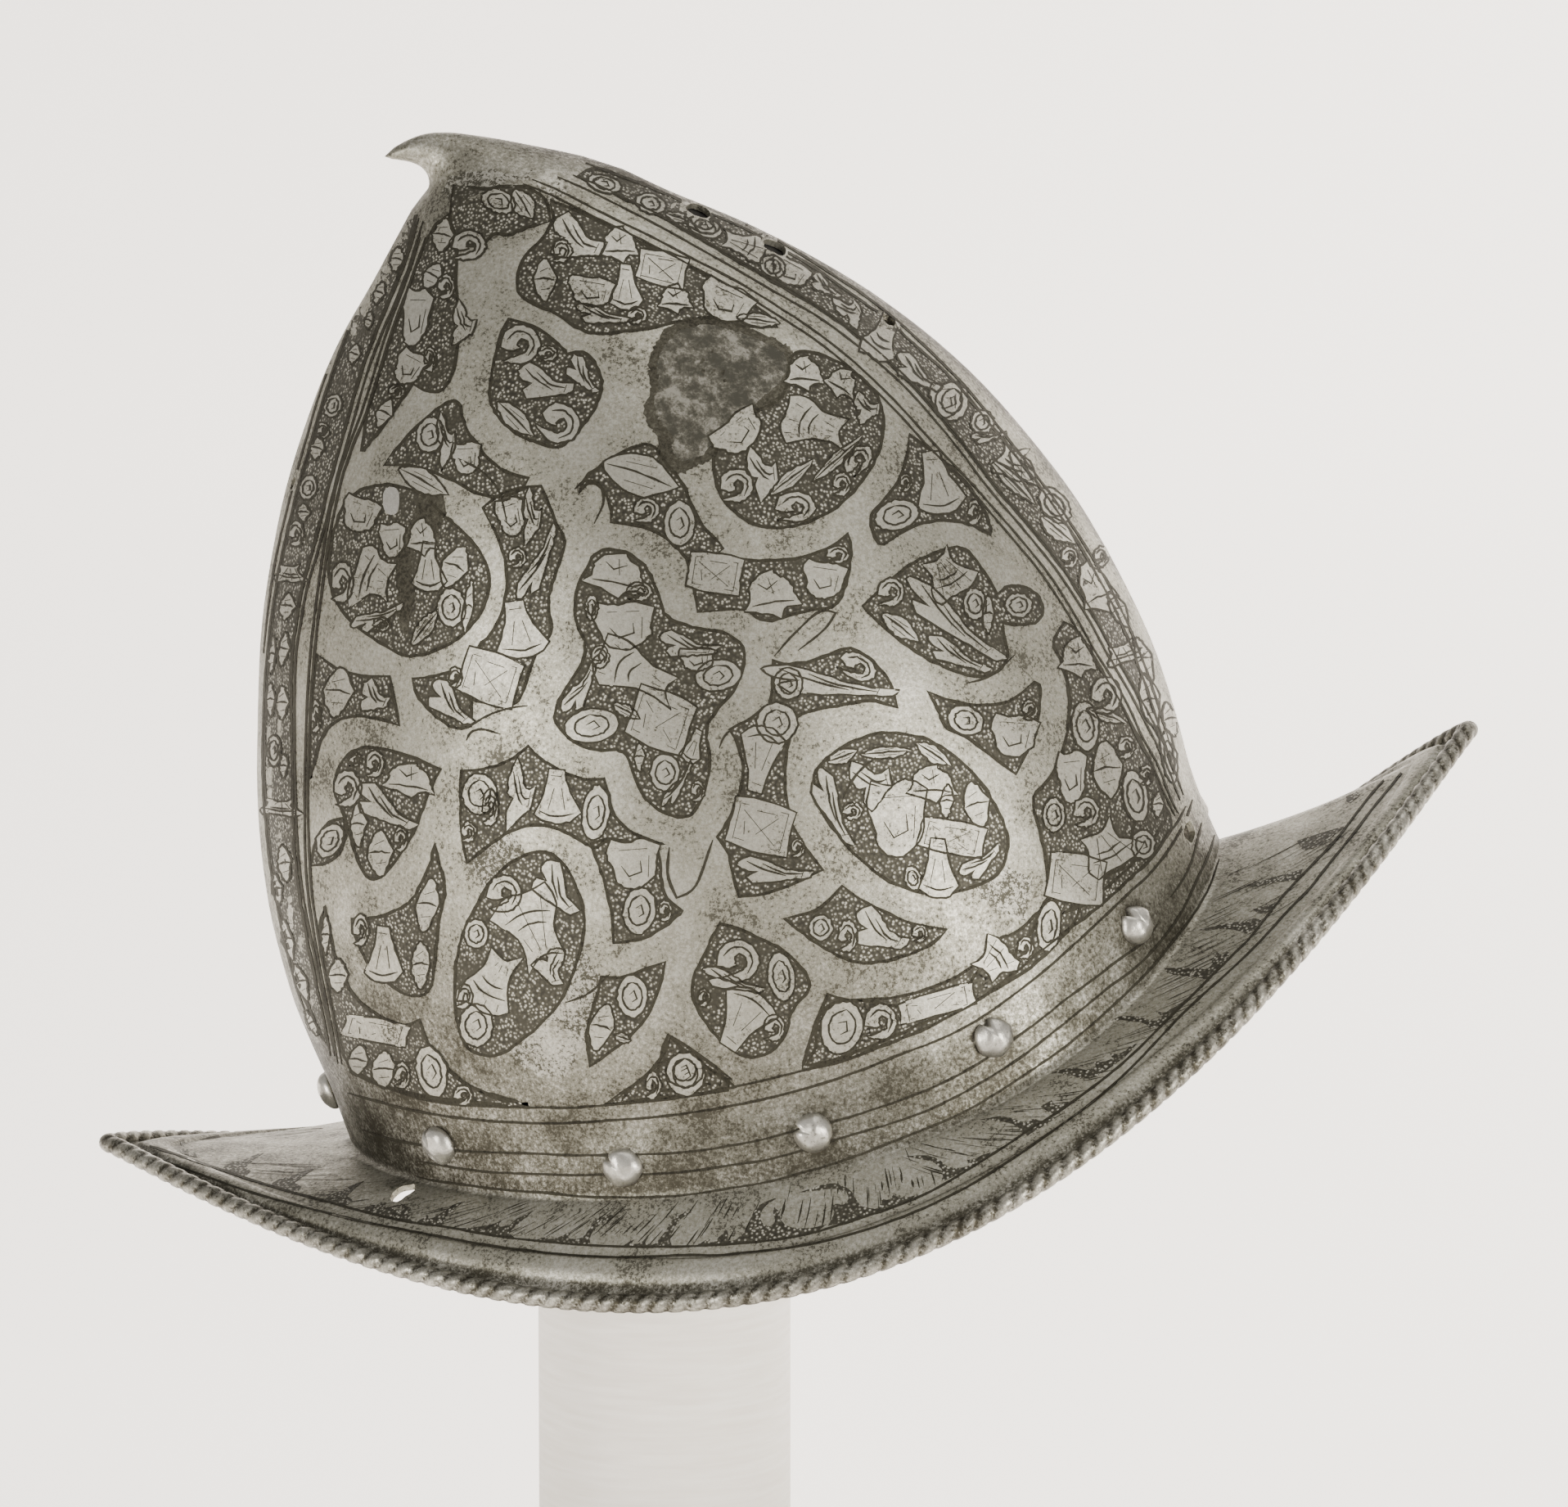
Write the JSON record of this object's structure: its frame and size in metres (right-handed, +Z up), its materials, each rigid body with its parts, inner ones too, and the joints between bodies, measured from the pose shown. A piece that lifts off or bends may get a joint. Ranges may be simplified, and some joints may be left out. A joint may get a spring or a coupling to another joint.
{
  "type": "morion helmet on a display stand",
  "caption": "Pointed steel morion with a ridged skull, bent stalk, swept boat-shaped brim and roped rim, tilted on a plain post stand.",
  "frame": {"origin": "centre of the underside of the stand's foot, on the surface it stands on", "axes": "+Z up along the stand's post; +X towards the front of the helmet, whose front is tilted up by 17 degrees; +Y towards the helmet's left side, across its narrowest extent"},
  "size_m": [0.3363, 0.2338, 0.3835],
  "materials": {
    "etched_steel": "forged steel plate, etched with strapwork and trophies on a dark granular ground, worn and stained",
    "rivet_steel": "hammered hollow rivet heads, brighter than the plate",
    "painted_post": "matt off-white paint"
  },
  "bodies": {
    "root": {"helmet_shell": "etched_steel", "lining_rivet_01": "rivet_steel", "lining_rivet_02": "rivet_steel", "lining_rivet_03": "rivet_steel", "lining_rivet_04": "rivet_steel", "lining_rivet_05": "rivet_steel", "lining_rivet_06": "rivet_steel", "lining_rivet_07": "rivet_steel", "lining_rivet_08": "rivet_steel", "lining_rivet_09": "rivet_steel", "lining_rivet_10": "rivet_steel", "lining_rivet_11": "rivet_steel", "lining_rivet_12": "rivet_steel", "display_stand": "painted_post"}
  },
  "joints": []
}
